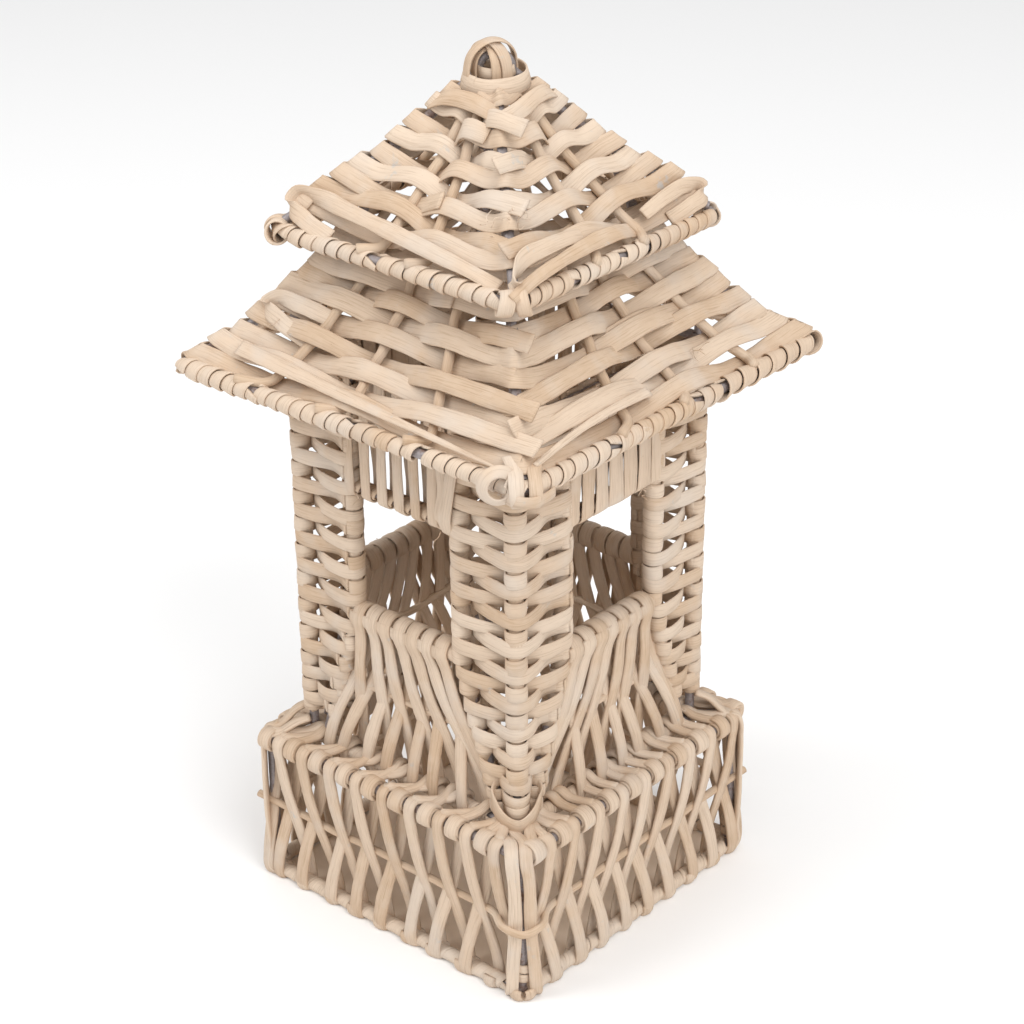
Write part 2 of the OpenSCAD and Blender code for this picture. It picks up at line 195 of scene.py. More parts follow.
class Weave:
    """Strips and reeds gathered into one mesh object."""

    def __init__(self):
        self.points, self.quads, self.caps, self.grain, self.tint = [], [], [], [], []
        self.count = 0

    def sweep(self, path, across, half_width, half_depth, section, tint, taper=(1, 1)):
        """Runs a section along a path; across is where its width points at each sample."""
        tangent = unit(np.gradient(path, axis=0))
        wide = unit(across - (across * tangent).sum(axis=1, keepdims=True) * tangent)
        deep = np.cross(wide, tangent)
        steps = np.linalg.norm(np.diff(path, axis=0), axis=1)
        length = np.concatenate([[0], np.cumsum(steps)])
        twist = np.radians(wander(length, 5.0, 60 * MM))[:, None]
        cos, sin = np.cos(twist), np.sin(twist)
        wide, deep = wide * cos + deep * sin, deep * cos - wide * sin
        w = half_width * (1 + wander(length, 0.08, 45 * MM))
        w = w * np.interp(length, (0, length[-1]), taper)
        x = w[:, None] * section[None, :, 0]
        y = half_depth * section[None, :, 1] * np.ones_like(x)
        ring = path[:, None] + wide[:, None] * x[..., None] + deep[:, None] * y[..., None]
        self.add_rings(ring, np.stack([length[:, None] + 0 * x, x], axis=-1), tint)

    def add_rings(self, ring, grain, tint):
        """Joins rings of points into a closed tube; grain holds its lengthwise and crosswise places."""
        rows, cols = ring.shape[:2]
        index = self.count + np.arange(rows * cols).reshape(rows, cols)
        after = np.roll(index, -1, axis=1)
        quads = np.stack([index[:-1], after[:-1], after[1:], index[1:]], axis=-1)
        self.points.append(ring.reshape(-1, 3))
        self.quads.append(quads.reshape(-1, 4))
        self.caps += [index[0, ::-1].tolist(), index[-1].tolist()]
        self.grain.append(grain.reshape(-1, 2))
        self.tint.append(np.full(rows * cols, tint))
        self.count += rows * cols

    def strip(self, points, across, width=6.4 * MM, thick=STRIP_T, step=1.5 * MM, taper=(1, 1)):
        """A flat strip through the points; across is one direction, or one for each point."""
        path, at = smooth(points, step)
        across = np.broadcast_to(np.asarray(across, float), (len(points), 3))
        hint = sample(at, range(len(points)), across)
        width *= rng.uniform(0.93, 1.07)
        section = LACE_SECTION if thick == LACE_T else STRIP_SECTION
        self.sweep(path, hint, width / 2, thick, section, rng.uniform(0, 1), taper)

    def lay(self, side, points, *sizes, **more):
        """A strip through points of a wall, with its width along the wall."""
        self.strip(place(side, points), place(side, ALONG), *sizes, **more)

    def reed(self, points, radius):
        """A round reed through the points."""
        path, _ = smooth(points, 2.0 * MM)
        flat = np.cross(np.gradient(path, axis=0), (0.31, 0.17, 0.93))
        self.sweep(path, flat, radius, radius, REED_SECTION, rng.uniform(0, 1))

    def build(self, name, *replaced, slot="rattan_strip"):
        """Makes the mesh object, rides it on the frame and hides the nodes that it stands for."""
        points = np.vstack(self.points)
        points[:, 2] = np.maximum(points[:, 2], 0)  # pressed flat where it touches the ground
        mesh = bpy.data.meshes.new(name)
        mesh.from_pydata(points, [], np.vstack(self.quads).tolist() + self.caps)
        mesh.polygons.foreach_set("use_smooth", [True] * len(mesh.polygons))
        corner = np.empty(len(mesh.loops), dtype=np.int32)
        mesh.loops.foreach_get("vertex_index", corner)
        uv = np.vstack(self.grain)[corner] * 10
        mesh.uv_layers.new(name="Grain").data.foreach_set("uv", uv.ravel())
        # The inward share marks faces bare of whitewash and also carries painted shade for the lantern's
        # dim inside.
        for key, value in (("tint", np.concatenate(self.tint)), ("bare_and_shade", inward_bare_and_shade_share(mesh))):
            mesh.attributes.new(key, "FLOAT", "POINT").data.foreach_set("value", value)
        mesh.materials.append(LOOKS[slot])
        piece = add_object(name, mesh)
        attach(piece, "root")
        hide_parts(*replaced)


def inward_bare_and_shade_share(mesh):
    """How far each point faces into the lantern, where the whitewash didn't reach and where painted shade
    stands in for the dim inside.

    Outwards is level on the walls, and turns upwards over the roofs."""
    count = len(mesh.vertices)
    where, normal = np.empty(count * 3), np.empty(count * 3)
    mesh.vertices.foreach_get("co", where)
    mesh.vertices.foreach_get("normal", normal)
    where, normal = where.reshape(-1, 3), normal.reshape(-1, 3)
    out, height = where.copy(), where[:, 2]
    eave_lift = np.where(height > TOWER_TOP[1] - 8 * MM, 0.06, 0)
    out[:, 2] = np.clip((height - TOWER_TOP[1]) * 4, 0, None) + eave_lift
    return np.clip(-(unit(out) * normal).sum(axis=1) * 1.4 - 0.1, 0, 1)


# ---------- materials ----------


def new_material(name):
    material = bpy.data.materials.new(name)
    material.use_nodes = True
    tree = material.node_tree
    return material, tree, tree.nodes["Principled BSDF"]


def feed(tree, socket, value):
    """Links a socket to another one, or gives it a value."""
    if isinstance(value, bpy.types.NodeSocket):
        tree.links.new(value, socket)
    elif socket.type == "RGBA":
        socket.default_value = (*value, 1)
    else:
        socket.default_value = value


def add_node(tree, kind, **values):
    """A shader node, with its sockets and settings given by name."""
    node = tree.nodes.new(kind)
    for key, value in values.items():
        if key in node.inputs:
            feed(tree, node.inputs[key], value)
        else:
            setattr(node, key, value)
    return node


def noise(tree, vector, scale, detail, rough):
    node = add_node(tree, "ShaderNodeTexNoise", Scale=scale, Detail=detail, Roughness=rough, Vector=vector)
    return node.outputs["Fac"]


def ramp(tree, value, stops):
    node = add_node(tree, "ShaderNodeValToRGB", Fac=value)
    elements = node.color_ramp.elements
    while len(elements) < len(stops):
        elements.new(0.5)
    for element, (at, colour) in zip(elements, stops):
        element.position = at
        element.color = (*colour, 1)
    return node.outputs["Color"]


def mask(tree, value, low, high):
    """Black below the low value and white over the high one."""
    return ramp(tree, value, [(low, (0, 0, 0)), (high, (1, 1, 1))])


def mix(tree, factor, a, b, mode="MIX"):
    node = add_node(tree, "ShaderNodeMix", data_type="RGBA", blend_type=mode)
    for socket, value in ((0, factor), (6, a), (7, b)):
        feed(tree, node.inputs[socket], value)
    return node.outputs[2]


def maths(tree, kind, a, b, node_type="ShaderNodeMath"):
    node = add_node(tree, node_type, operation=kind)
    feed(tree, node.inputs[0], a)
    feed(tree, node.inputs[1], b)
    return node.outputs[0]


def patch(tree, colour, where, share, other):
    """Another colour laid over a share of this one, as far as the mask is white."""
    return mix(tree, maths(tree, "MULTIPLY", where, share), colour, other)


def surface(tree, shader, colour, rough, height, strength, depth):
    """Links a colour, a roughness ramp and a bump of the given strength and depth."""
    bump = add_node(tree, "ShaderNodeBump", Strength=strength, Distance=depth, Height=height)
    feed(tree, shader.inputs["Normal"], bump.outputs["Normal"])
    feed(tree, shader.inputs["Base Color"], colour)
    feed(tree, shader.inputs["Roughness"], rough)


def attribute(tree, name):
    return add_node(tree, "ShaderNodeAttribute", attribute_name=name).outputs["Fac"]


def grain_vector(tree, stretch):
    """Coordinates along and across each strip, moved by its own tint so that no two match."""
    uv = add_node(tree, "ShaderNodeUVMap", uv_map="Grain").outputs["UV"]
    scaled = maths(tree, "MULTIPLY", uv, (*stretch, 1), "ShaderNodeVectorMath")
    own = maths(tree, "MULTIPLY", attribute(tree, "tint"), 57.0)
    shift = add_node(tree, "ShaderNodeCombineXYZ", Z=own).outputs[0]
    return maths(tree, "ADD", scaled, shift, "ShaderNodeVectorMath")


def rattan(name, pale, mid, warm):
    """Bleached rattan: long fibres, patchy whitewash, dark pores, and browner where it faces inwards,
    partly bare of whitewash and partly painted shade.
    """
    material, tree, shader = new_material(name)
    fibres = noise(tree, grain_vector(tree, (2.2, 60)), 3.0, 4.0, 0.6)
    threads = noise(tree, grain_vector(tree, (6, 190)), 2.0, 2.0, 0.5)
    patches = noise(tree, grain_vector(tree, (9, 9)), 1.0, 2.0, 0.6)
    pores = noise(tree, grain_vector(tree, (30, 90)), 3.0, 2.0, 0.7)
    each = ramp(tree, attribute(tree, "tint"), [(0.0, pale), (0.42, mid), (0.8, warm), (1.0, pale)])
    colour = patch(tree, each, mask(tree, patches, 0.42, 0.68), 0.35, pale)
    streaks = ramp(tree, fibres, [
        (0.3, (0.72, 0.66, 0.6)), (0.5, (1, 1, 1)), (0.75, (1.0, 0.985, 0.96)),
    ])
    colour = mix(tree, 0.75, colour, streaks, "MULTIPLY")
    specks = ramp(tree, pores, [(0.22, (0.45, 0.36, 0.3)), (0.3, (1, 1, 1))])
    colour = mix(tree, 0.8, colour, specks, "MULTIPLY")
    where = add_node(tree, "ShaderNodeTexCoord").outputs["Object"]
    chalk = mask(tree, noise(tree, where, 34.0, 3.0, 0.6), 0.5, 0.66)
    colour = patch(tree, colour, chalk, 0.4, (0.62, 0.555, 0.49))
    smear = mask(tree, noise(tree, where, 61.0, 4.0, 0.7), 0.66, 0.74)
    colour = patch(tree, colour, smear, 0.55, (0.42, 0.47, 0.50))
    # Painted shade: inward faces turn darker brown, partly for the bare inner sides and partly for the
    # shade inside the lantern.
    colour = patch(tree, colour, attribute(tree, "bare_and_shade"), 0.35, (0.46, 0.30, 0.18))
    shader.inputs["Specular IOR Level"].default_value = 0.3
    rough = ramp(tree, fibres, [(0.3, (0.78,) * 3), (0.7, (0.6,) * 3)])
    height = maths(tree, "ADD", fibres, maths(tree, "MULTIPLY", threads, 0.5))
    surface(tree, shader, colour, rough, height, 0.5, 0.35 * MM)
    return material


def wire_steel():
    """Dull grey zinc-coated wire with rust stains."""
    material, tree, shader = new_material("frame_wire")
    where = add_node(tree, "ShaderNodeTexCoord").outputs["Object"]
    stains = noise(tree, where, 90.0, 4.0, 0.65)
    grit = noise(tree, where, 900.0, 3.0, 0.6)
    colour = ramp(tree, stains, [
        (0.35, (0.30, 0.27, 0.27)), (0.52, (0.38, 0.34, 0.34)),
        (0.6, (0.30, 0.22, 0.19)), (0.72, (0.2, 0.1, 0.07)),
    ])
    dust = ramp(tree, grit, [(0.4, (0.7, 0.7, 0.7)), (0.6, (1, 1, 1))])
    colour = mix(tree, 0.6, colour, dust, "MULTIPLY")
    shader.inputs["Metallic"].default_value = 0.55
    rough = ramp(tree, stains, [(0.4, (0.5,) * 3), (0.7, (0.85,) * 3)])
    surface(tree, shader, colour, rough, grit, 0.4, 0.2 * MM)
    return material


STEEL = wire_steel()
LOOKS = {
    "rattan_strip": rattan("rattan_strip", (0.68, 0.55, 0.43), (0.62, 0.475, 0.35), (0.56, 0.405, 0.275)),
    "round_reed": rattan("round_reed", (0.69, 0.555, 0.425), (0.64, 0.49, 0.36), (0.58, 0.43, 0.30)),
}

for node_name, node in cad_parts.items():
    if node_name.endswith(("_wire", "_wires", "_rods", "_struts", "_loop")):
        node.data.materials.clear()
        node.data.materials.append(STEEL)


# ---------- laced walls ----------

ALONG = (1, 0, 0)
UP = (0, 0, 1)
STRAND_BOW = 0.65  # how far a strand's sideways course is an S
# Down a strand: its share of the way, and its layer, from outside the wires (1) to inside (-1).
STRAND_LAYERS = ((0.12, 1), (0.32, 0.8), (0.52, 0.25), (0.7, -0.45), (0.88, -1))


def strand(u_head, u_foot, head, foot, from_outside):
    """Points down a strand that changes from one side of the wires to the other."""
    out = []
    shift = drift(0.9)
    for t, layer in STRAND_LAYERS:
        eased = (1 - STRAND_BOW) * t + STRAND_BOW * t * t * (3 - 2 * t)
        offset = LACE_LAY * layer * (1 if from_outside else -1)
        out.append((
            u_head + (u_foot - u_head) * eased + shift * math.sin(math.pi * t),
            head[0] + (foot[0] - head[0]) * t + offset,
            head[1] + (foot[1] - head[1]) * t,
        ))
    return out


def wire_binding(weave, side, wire, half, radius, pitch, width):
    """Strip wound openly along a straight wire of a wall, under the lacing."""
    u = -half + rng.uniform(0, 1) * MM
    points = []
    for i in range(int(2 * half / pitch) * 8 + 1):
        angle = 2 * math.pi * i / 8
        r = radius * (1 + 0.05 * math.sin(1.7 * i + side))
        points.append((u + pitch * i / 8, wire[0] + r * math.cos(angle), wire[1] + r * math.sin(angle)))
    weave.lay(side, points, width, step=1.6 * MM)


LACE_W = 6.3 * MM
KNOB_W = 6.9 * MM
LEDGE_STRIP_W = 5.2 * MM
BASE_STRANDS = 9
BASE_PITCH = 16.3 * MM
BASE_FIRST = 66 * MM
BASE_LEAN = 12 * MM
BASE_LIMIT = 75.5 * MM
KNOB_R = LACE_LAY + 0.9 * LACE_T
LEDGE_REACH = 56 * MM


def base_strands(side):
    """Where the outer strands of a base wall cross the top ring, and which way they lean."""
    if side % 2 == 0:
        return [-BASE_FIRST + BASE_PITCH * i for i in range(BASE_STRANDS)], 1
    return [BASE_FIRST + 3 * MM - BASE_PITCH * i for i in range(BASE_STRANDS)], -1


def ledge_strip(weave, side, u_ring, u_ledge, rise):
    """A narrow strip from the inside of the base ring across the ledge, tucked under its wire."""
    u_ledge = float(np.clip(u_ledge, -LEDGE_REACH, LEDGE_REACH))
    points = around(u_ring, u_ring, BASE_HEAD, LACE_LAY, 195, 110)
    for t in (0.45, 0.75):
        n = BASE_HEAD[0] + (LEDGE[0] - BASE_HEAD[0]) * t
        z = BASE_HEAD[1] + (LEDGE[1] - BASE_HEAD[1]) * t + LACE_LAY * 0.7 + rise * t
        points.append((u_ring + (u_ledge - u_ring) * t, n, z))
    points += around(u_ledge, u_ledge, LEDGE, LACE_LAY + LACE_T + rise / 3, 100, 240)
    weave.lay(side, points, LEDGE_STRIP_W, LACE_T)


def base_wall(side):
    weave = Weave()
    wire_binding(weave, side, LEDGE, 54 * MM, LAY - 0.2 * MM, 7.9 * MM, 7.4 * MM)
    wire_binding(weave, side, BASE_FOOT, 73 * MM, LAY - 0.3 * MM, 8.4 * MM, 7.6 * MM)
    heads, turn = base_strands(side)
    for u in heads:
        u += drift(0.7)
        foot = np.clip(u + turn * BASE_LEAN * rng.uniform(0.9, 1.2), -BASE_LIMIT, BASE_LIMIT)
        points = around(u, u, BASE_HEAD, LACE_LAY + 0.3 * MM, 190, -8)
        points += strand(u, foot, BASE_HEAD, BASE_FOOT, True)
        points += around(foot, foot, BASE_FOOT, LACE_LAY, 180, 395, 0.4 * MM)
        weave.lay(side, points, LACE_W, LACE_T)
        slant = (15 if turn > 0 else -5) * MM
        ledge_strip(weave, side, u, u + slant + drift(2), 0.8 * MM)
    for u in heads:
        u += drift(0.6) - BASE_PITCH / 2
        base_knob(weave, side, u, turn)
        ledge_strip(weave, side, u, u + turn * rng.uniform(0, 6) * MM, 1.4 * MM)
    replaced = ("base_lacing_" + SIDES[side], "ledge_lacing_" + SIDES[side])
    weave.build("Base_weave_" + SIDES[side], *replaced)


def base_knob(weave, side, u, turn):
    """A strand from outside the bottom ring up behind the top ring, doubled round it as a knob."""
    foot = np.clip(u - turn * BASE_LEAN * rng.uniform(0.8, 1.05), -BASE_LIMIT, BASE_LIMIT)
    points = around(foot, foot, BASE_FOOT, LACE_LAY, 150, 355)
    points += strand(u, foot, BASE_HEAD, BASE_FOOT, False)[::-1]
    points += around(u, u + 0.5 * MM, BASE_HEAD, LACE_LAY, 190, -165)
    points += around(u + 0.5 * MM, u, BASE_HEAD, KNOB_R, -190, -520)
    weave.lay(side, points, KNOB_W, LACE_T)


def corner_plane(side, points):
    """Points (across, outwards along the diagonal, height) at the corner that ends a side."""
    p = np.asarray(points, float)
    r = math.sqrt(0.5)
    u, n = (p[..., 1] + p[..., 0]) * r, (p[..., 1] - p[..., 0]) * r
    return place(side, np.stack([u, n, p[..., 2]], axis=-1))


RING_BEND = 7 * MM
# Distances from the axis along the diagonal.
RING_CORNER = (BASE_HEAD[0] - RING_BEND * (1 - math.sqrt(0.5))) * math.sqrt(2)
POST_CORNER = POST * math.sqrt(2)


def corner_strand(weave, side, start, top, mid, foot, rise):
    """A strand from the post's foot over the corner of the base ring and down to the ground.

    On its way its place across the corner goes from start to top, mid and foot, in millimetres."""
    start, top, mid, foot, rise = (value * MM for value in (start, top, mid, foot, rise))
    face, z, low = RING_CORNER + LACE_LAY, BASE_HEAD[1], BASE_FOOT[1]
    points = [
        (start, POST_CORNER + 2 * MM, z + rise),
        (start * 0.8 + top * 0.2, POST_CORNER + 7 * MM, z + rise * 0.85),
        (top, RING_CORNER - 3 * MM, z + 3.6 * MM),
        (top, RING_CORNER + 1.6 * MM, z + 2.6 * MM),
        (top, face + 0.6 * MM, z - 1.5 * MM),
        ((top + mid) / 2, face + 1 * MM, z - 9 * MM),
        (mid, face + 1 * MM, z * 0.5),
        (foot * 0.7 + mid * 0.3, face + 0.4 * MM, z * 0.22),
        (foot, face, low),
        (foot, RING_CORNER - 0.5 * MM, low - LAY),
        (foot, RING_CORNER - LAY - 1 * MM, low + 2 * MM),
    ]
    weave.strip(corner_plane(side, points), corner_plane(side, ALONG), 5.8 * MM, LACE_T)


def rod_turn(weave, side, z, start):
    """A turn of narrow strip round a corner rod, above the bottom ring."""
    rod = RING_CORNER / math.sqrt(2)
    points = [
        (rod + LAY * math.cos(a), rod + LAY * math.sin(a), z + 0.6 * MM * math.sin(a))
        for a in np.radians(np.arange(-200, 190, 35) + start)
    ]
    weave.strip(place(side, points), UP, 4.2 * MM, step=1 * MM)


def base_corners():
    """Strands over the corners of the ledge, and turns that hold each rod above the bottom ring."""
    weave = Weave()
    corner_strand(weave, 0, -6.5, -4.4, -3.2, -4.8, 1.5)
    corner_strand(weave, 0, -2.6, 1.7, 3.6, 5.8, 3)
    for side in (1, 2, 3):
        corner_strand(weave, side, -3.4, -3.4, -3.0, -3.6, 15)
        corner_strand(weave, side, 3.2, 3.2, 2.8, 3.4, 11)
    for side in range(4):
        rod_turn(weave, side, 9.6 * MM, 0)
        rod_turn(weave, side, 14.4 * MM, 30)
    weave.build("Base_corner_weave", "base_foot_wraps")


MID_REED_R = 1.75 * MM


def base_reed():
    """The thin reed inside the strands at mid height, which swings out round the front corner."""
    weave = Weave()
    z = mid_height("base_mid_reeds")
    inside = BASE_HEAD[0] - 1 * MM
    tip = BASE_HEAD[0] + 5 * MM
    us = np.linspace(-62, 50, 9) * MM
    front = [(-tip, inside + 2 * MM, z + 2 * MM), (-72 * MM, inside + 1 * MM, z + 1 * MM)]
    front += [(u, inside + drift(0.4), z + drift(0.8)) for u in us]
    front += [(62 * MM, BASE_HEAD[0] + 0.8 * MM, z + 0.4 * MM), (71 * MM, BASE_HEAD[0] + 6 * MM, z)]
    right = [(-u, n, h) for u, n, h in front[::-1]]
    corner = (BASE_HEAD[0] + 4.2 * MM, BASE_HEAD[0] + 4.2 * MM, z - 0.6 * MM)
    weave.reed(np.vstack([place(0, front), place(0, [corner]), place(1, right)]), MID_REED_R)
    for side in (2, 3):
        points = [(u, inside, z + drift(1)) for u in np.linspace(-74, 74, 12) * MM]
        weave.reed(place(side, points), MID_REED_R)
    weave.build("Base_mid_reeds", "base_mid_reeds", slot="round_reed")


SILL_SPAN = 28 * MM
PARAPET_FOOT_SPAN = 50 * MM
PARAPET_PERIODS = 7  # pairs of strands, one from outside the sill and one from inside
PARAPET_LEAN = 0.3
SILL_KNOB = LACE_LAY + STRIP_T + 0.9 * MM  # the strands' turns stand out along the sill


def parapet_strand(weave, side, head, foot, outside):
    """A strand of a parapet; outside says on which side of the sill it starts."""
    if outside:
        points = around(head - 2 * MM, head, SILL, SILL_KNOB, 390, 20)
        points += strand(head, foot, SILL, LEDGE, True)
        points += around(foot, foot, LEDGE, LACE_LAY, 180, 290)
    else:
        points = around(foot, foot, LEDGE, LACE_LAY, 230, 355)
        points += strand(head, foot, SILL, LEDGE, False)[::-1]
        points += around(head, head + 1 * MM, SILL, LACE_LAY, 185, -190, 0.3 * MM)
    weave.lay(side, points, 6.5 * MM, LACE_T)


def parapet(side):
    """Strands that fan out from the sill to the ledge, crossing between the two."""
    weave = Weave()
    wire_binding(weave, side, SILL, 27.5 * MM, LAY, 7.6 * MM, 7.4 * MM)
    turn = 1 if side % 2 == 0 else -1
    step = 2 / PARAPET_PERIODS
    for i in range(PARAPET_PERIODS):
        for kind, way in ((0, turn), (1, -turn)):
            share = -1 + (i + 0.25 + 0.5 * kind) * step + rng.uniform(-0.03, 0.03)
            lean = way * PARAPET_LEAN * rng.uniform(0.85, 1.15)
            foot = float(np.clip(share + lean, -0.94, 0.94)) * PARAPET_FOOT_SPAN
            parapet_strand(weave, side, share * SILL_SPAN, foot, kind == 0)
    weave.build("Parapet_weave_" + SIDES[side], "parapet_lacing_" + SIDES[side])


def parapet_reeds():
    """A thin reed across each parapet, between its strands."""
    weave = Weave()
    z = mid_height("parapet_mid_reeds")
    for side in range(4):
        us = np.linspace(-41, 41, 7) * MM
        points = [(u, POST - rng.uniform(0.4, 1.2) * MM, z + drift(1.2)) for u in us]
        weave.reed(place(side, points), MID_REED_R)
    weave.build("Parapet_mid_reeds", "parapet_mid_reeds", slot="round_reed")


VALANCE_STRIPS = 7
VALANCE_REACH = 28.5  # millimetres from mid window to the last strip
VALANCE_FAN = {0: -4.5 * MM, 1: 4.5 * MM}  # lean of the strips next to the front post


def valance(side):
    """Strips looped under the head wire and up to the wire that closes the wall."""
    weave = Weave()
    width = (8.6 if side % 2 else 5.5) * MM
    top = TOWER_TOP[1] + 3 * MM
    wire_binding(weave, side, HEAD, 28 * MM, LAY - 0.2 * MM, 9.7 * MM, 6.5 * MM)
    for u in np.linspace(-VALANCE_REACH, VALANCE_REACH, VALANCE_STRIPS) * MM:
        near_post = max(0, u / (VALANCE_REACH * MM) * (1 if side == 0 else -1))
        lean = drift(1.6) + VALANCE_FAN.get(side, 0) * near_post
        sway = drift(1.2)
        middle = (top + HEAD[1]) / 2
        points = [(u + lean, POST + LAY, top), (u + lean * 0.6 + sway, POST + LAY + 0.6 * MM, middle)]
        points += around(u, u, HEAD, LAY + STRIP_T, 15, -195)
        points += [(u - lean * 0.6 + sway, POST - LAY - 0.6 * MM, middle), (u - lean, POST - LAY, top)]
        weave.lay(side, points, width)
    weave.build("Valance_" + SIDES[side], "valance_" + SIDES[side])


# ---------- corner posts ----------

POST_ROWS = 25
ROW_W = 6.9 * MM
WOUND_W = 7.4 * MM
ROW_PITCH = (HEAD[1] - SILL[1]) / 9.2
FIRST_ROW = SILL[1] - 7.9 * ROW_PITCH
JAMB_LEAN = (JAMB_FOOT - JAMB) / (SILL[1] - JAMB_FOOT_Z)


def leg(z):
    """Distance from the spine wire to the jamb wires at a height."""
    return POST - JAMB - max(0, SILL[1] - z) * JAMB_LEAN


def circle(centre, radius, start, end):
    """Turn about an upright wire at (a, b), seen from above."""
    count = max(3, math.ceil(abs(end - start) / TURN_STEP) + 1)
    angle = np.radians(np.linspace(start, end, count))
    return [(centre[0] + radius * math.cos(q), centre[1] + radius * math.sin(q)) for q in angle]


BOUND = LAY + STRIP_T  # round a wire that is already wound


def over_row(length):
    """Round one jamb, over the spine and round the other jamb; the spine is at the origin."""
    near, far = 0.25 * length, 0.7 * length
    path = circle((-length, 0), BOUND, 450, 100)
    path += [(-far, -0.6 * MM), (-near, -BOUND * 0.9)] + circle((0, 0), BOUND, -85, -5)
    path += [(BOUND * 0.9, near), (0.6 * MM, far)]
    return path + circle((0, length), BOUND, -10, -360)


def under_row(length):
    """Outside the jambs and behind the spine."""
    near, far = 0.25 * length, 0.72 * length
    path = circle((-length, 0), BOUND, 80, 265) + [(-far, -BOUND), (-near, 0.4 * MM)]
    path += [(-BOUND, BOUND * 0.7), (-BOUND * 0.7, BOUND)]
    return path + [(-0.4 * MM, near), (BOUND, far)] + circle((0, length), BOUND, 5, 190)


def corner_row(weave, side, path, heights, width):
    """A strip along a path seen from above, which has the spine wire at its origin."""
    points = [(POST + a, POST - b, z) for (a, b), z in zip(path, np.broadcast_to(heights, len(path)))]
    weave.strip(place(side, points), UP, width)


def wound_wire(weave, side, foot, head, pitch):
    """Strip wound up a wire from foot to head, both given as (a, b, z) from the corner."""
    foot, head = np.asarray(foot), np.asarray(head)
    turns = np.linalg.norm(head - foot) / pitch
    points = []
    for t in np.linspace(0, 1, int(turns * 9)):
        angle = 2 * math.pi * turns * t
        r = LAY * (1 + 0.05 * math.sin(5 * angle / 7))
        a, b, z = foot + (head - foot) * t
        points.append((POST + a + r * math.cos(angle), POST - b - r * math.sin(angle), z))
    weave.strip(place(side, points), UP, WOUND_W, step=1.6 * MM)


def beside(length, z, flip):
    """A place at a distance from the spine along one of its two walls, as (a, b, z)."""
    return (0, length, z) if flip else (-length, 0, z)


def post(side):
    """A corner post: three wound wires, and rows woven over and under the middle one."""
    weave = Weave()
    top = TOWER_TOP[1] - 3 * MM
    below = leg(FIRST_ROW) + 0.5 * MM
    for flip in (False, True):
        knee = beside(POST - JAMB, SILL[1], flip)
        wound_wire(weave, side, beside(below, FIRST_ROW - 4 * MM, flip), knee, 7.2 * MM)
        wound_wire(weave, side, knee, beside(POST - JAMB, top, flip), 7.4 * MM)
    wound_wire(weave, side, (0, 0, FIRST_ROW - 5 * MM), (0, 0, top), 7.6 * MM)
    for i in range(POST_ROWS):
        post_row(weave, side, i)
    post_foot(weave, side)
    weave.build("Post_weave_" + CORNERS[side], "post_weave_" + CORNERS[side])


def post_row(weave, side, i):
    """Every other row runs over the spine, and the ones between get a turn round it as well."""
    z = FIRST_ROW + i * ROW_PITCH
    length = leg(z)
    path = over_row(length) if i % 2 == 0 else under_row(length)
    tilt = drift(1.9)
    slope = rng.uniform(0.3, 4.0) * MM * (1 if i % 2 else -1)
    t = np.linspace(-1, 1, len(path))
    heights = z + tilt * t + slope * (np.abs(t) - 0.5) + drift(0.4)
    corner_row(weave, side, path, heights, ROW_W)
    if i % 2:
        turn = circle((0, 0), BOUND + 0.3 * MM, -190, 215)
        sway = rng.uniform(0.4, 1.6) * MM
        corner_row(weave, side, turn, np.linspace(z - sway, z + sway, len(turn)), 7.2 * MM)


# Two straps that tie the head of the front window to the front post: (u, n, z) in millimetres.
JAMB_STRAPS = (
    (
        (22, 64.6, 254), (24.5, 65.4, 236), (25.5, 65.2, 222),
        (23.5, 64.9, 211), (22.5, 61, 204.4), (21.5, 57, 208),
    ),
    (
        (34, 65.4, 250), (32, 66.6, 238), (29.6, 66.8, 224),
        (27, 66.2, 211), (25.8, 62, 203.8), (25, 57.4, 208),
    ),
)
# The strip slung under the foot of the front post: (a, b) from its spine and height, in millimetres.
SLING = (
    (-11, 1, 14), (-10, -4.4, 9), (-6.4, -6.4, 3.6), (-0.6, -6.8, 0), (5.2, -5.2, -1),
    (6.8, 0.4, 0.6), (6.2, 6.4, 5), (4.2, 10, 10), (-1, 11, 13),
)


def post_foot(weave, side):
    """A turn above the foot of a post; the front one has two rows, the sling and the straps."""
    z = LEDGE[1] + 5.5 * MM
    if side != 0:
        turn = circle((0, 0), BOUND, -200, 210)
        corner_row(weave, side, turn, z + 11 * MM, 6.4 * MM)
        return
    for height in (z + 2.6 * MM, z + 8.4 * MM):
        path = over_row(leg(height))
        corner_row(weave, side, path, height, 6.4 * MM)
    path = [(a * MM, b * MM) for a, b, _ in SLING]
    corner_row(weave, side, path, [z + height * MM for _, _, height in SLING], WOUND_W)
    for strap in JAMB_STRAPS:
        weave.lay(side, np.array(strap) * MM, 6.2 * MM)


# ---------- roofs ----------

ROOF_LIFT = 2.9 * MM  # a row's middle from the middle of the stakes that it passes
ROW_OVERLAP = 3  # marks that a row's end shares with its start
STAKE_R = 2.15 * MM


def roof_point(profile, distance, share, lift):
    """Wall coordinates on a roof face, with its up-slope direction; a share of 1 is the hip."""
    at, way = along(profile, distance)
    out = np.array([way[1], -way[0]])
    n, z = at + out * lift
    u = share * (at[0] + out[0] * lift * abs(share))
    return (u, n, z), (-share * abs(way[0]) * 0.9, way[0], way[1])


